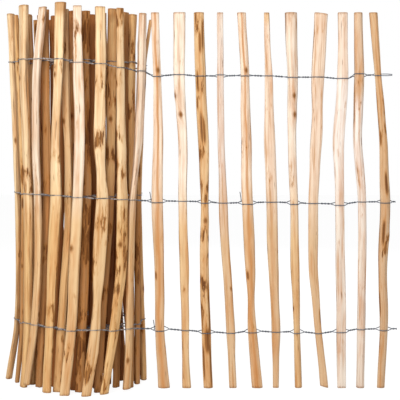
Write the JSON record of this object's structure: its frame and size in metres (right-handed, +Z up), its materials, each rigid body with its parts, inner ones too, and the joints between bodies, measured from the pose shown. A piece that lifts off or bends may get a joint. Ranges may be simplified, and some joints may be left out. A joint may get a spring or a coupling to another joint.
{
  "type": "hazel picket fence",
  "caption": "Hazel picket fence of crooked peeled rods held by strands of twisted wire, standing as a roll with a straight unrolled stretch beside it.",
  "frame": {"origin": "middle of the bounding box at ground level, under the feet of the pickets", "axes": "+Z up from the ground, +X along the unrolled stretch to its free end, -Y the front that the stretch shows"},
  "size_m": [1.093, 0.382, 1.021],
  "materials": {
    "peeled_hazel": "matt, peeled and cleft",
    "barked_hazel": "matt, with streaks of brown bark",
    "galvanised_wire": "dull zinc"
  },
  "bodies": {
    "root": {"bottom_wire_a": "galvanised_wire", "bottom_wire_b": "galvanised_wire", "inner_turn_pickets": "peeled_hazel", "middle_wire_a": "galvanised_wire", "middle_wire_b": "galvanised_wire", "outer_turn_picket_01": "peeled_hazel", "outer_turn_picket_02": "peeled_hazel", "outer_turn_picket_03": "peeled_hazel", "outer_turn_picket_04": "peeled_hazel", "outer_turn_picket_05": "peeled_hazel", "outer_turn_picket_06": "peeled_hazel", "outer_turn_picket_07": "peeled_hazel", "outer_turn_picket_08": "peeled_hazel", "outer_turn_picket_09": "peeled_hazel", "outer_turn_picket_10": "peeled_hazel", "outer_turn_picket_11": "peeled_hazel", "outer_turn_picket_12": "peeled_hazel", "outer_turn_picket_13": "peeled_hazel", "outer_turn_picket_14": "peeled_hazel", "outer_turn_picket_15": "peeled_hazel", "outer_turn_picket_16": "barked_hazel", "outer_turn_picket_17": "peeled_hazel", "outer_turn_picket_18": "peeled_hazel", "outer_turn_picket_19": "peeled_hazel", "second_turn_picket_01": "peeled_hazel", "second_turn_picket_02": "barked_hazel", "second_turn_picket_03": "peeled_hazel", "second_turn_picket_04": "peeled_hazel", "second_turn_picket_05": "peeled_hazel", "second_turn_picket_06": "peeled_hazel", "second_turn_picket_07": "peeled_hazel", "second_turn_picket_08": "peeled_hazel", "second_turn_picket_09": "peeled_hazel", "second_turn_picket_10": "peeled_hazel", "second_turn_picket_11": "peeled_hazel", "second_turn_picket_12": "peeled_hazel", "second_turn_picket_13": "peeled_hazel", "second_turn_picket_14": "peeled_hazel", "splice_tails": "galvanised_wire", "stretch_picket_01": "peeled_hazel", "stretch_picket_02": "peeled_hazel", "stretch_picket_03": "barked_hazel", "stretch_picket_04": "peeled_hazel", "stretch_picket_05": "peeled_hazel", "stretch_picket_06": "peeled_hazel", "stretch_picket_07": "peeled_hazel", "stretch_picket_08": "peeled_hazel", "stretch_picket_09": "peeled_hazel", "stretch_picket_10": "peeled_hazel", "stretch_picket_11": "peeled_hazel", "third_turn_pickets": "peeled_hazel", "top_wire_a": "galvanised_wire", "top_wire_b": "galvanised_wire"}
  },
  "joints": []
}
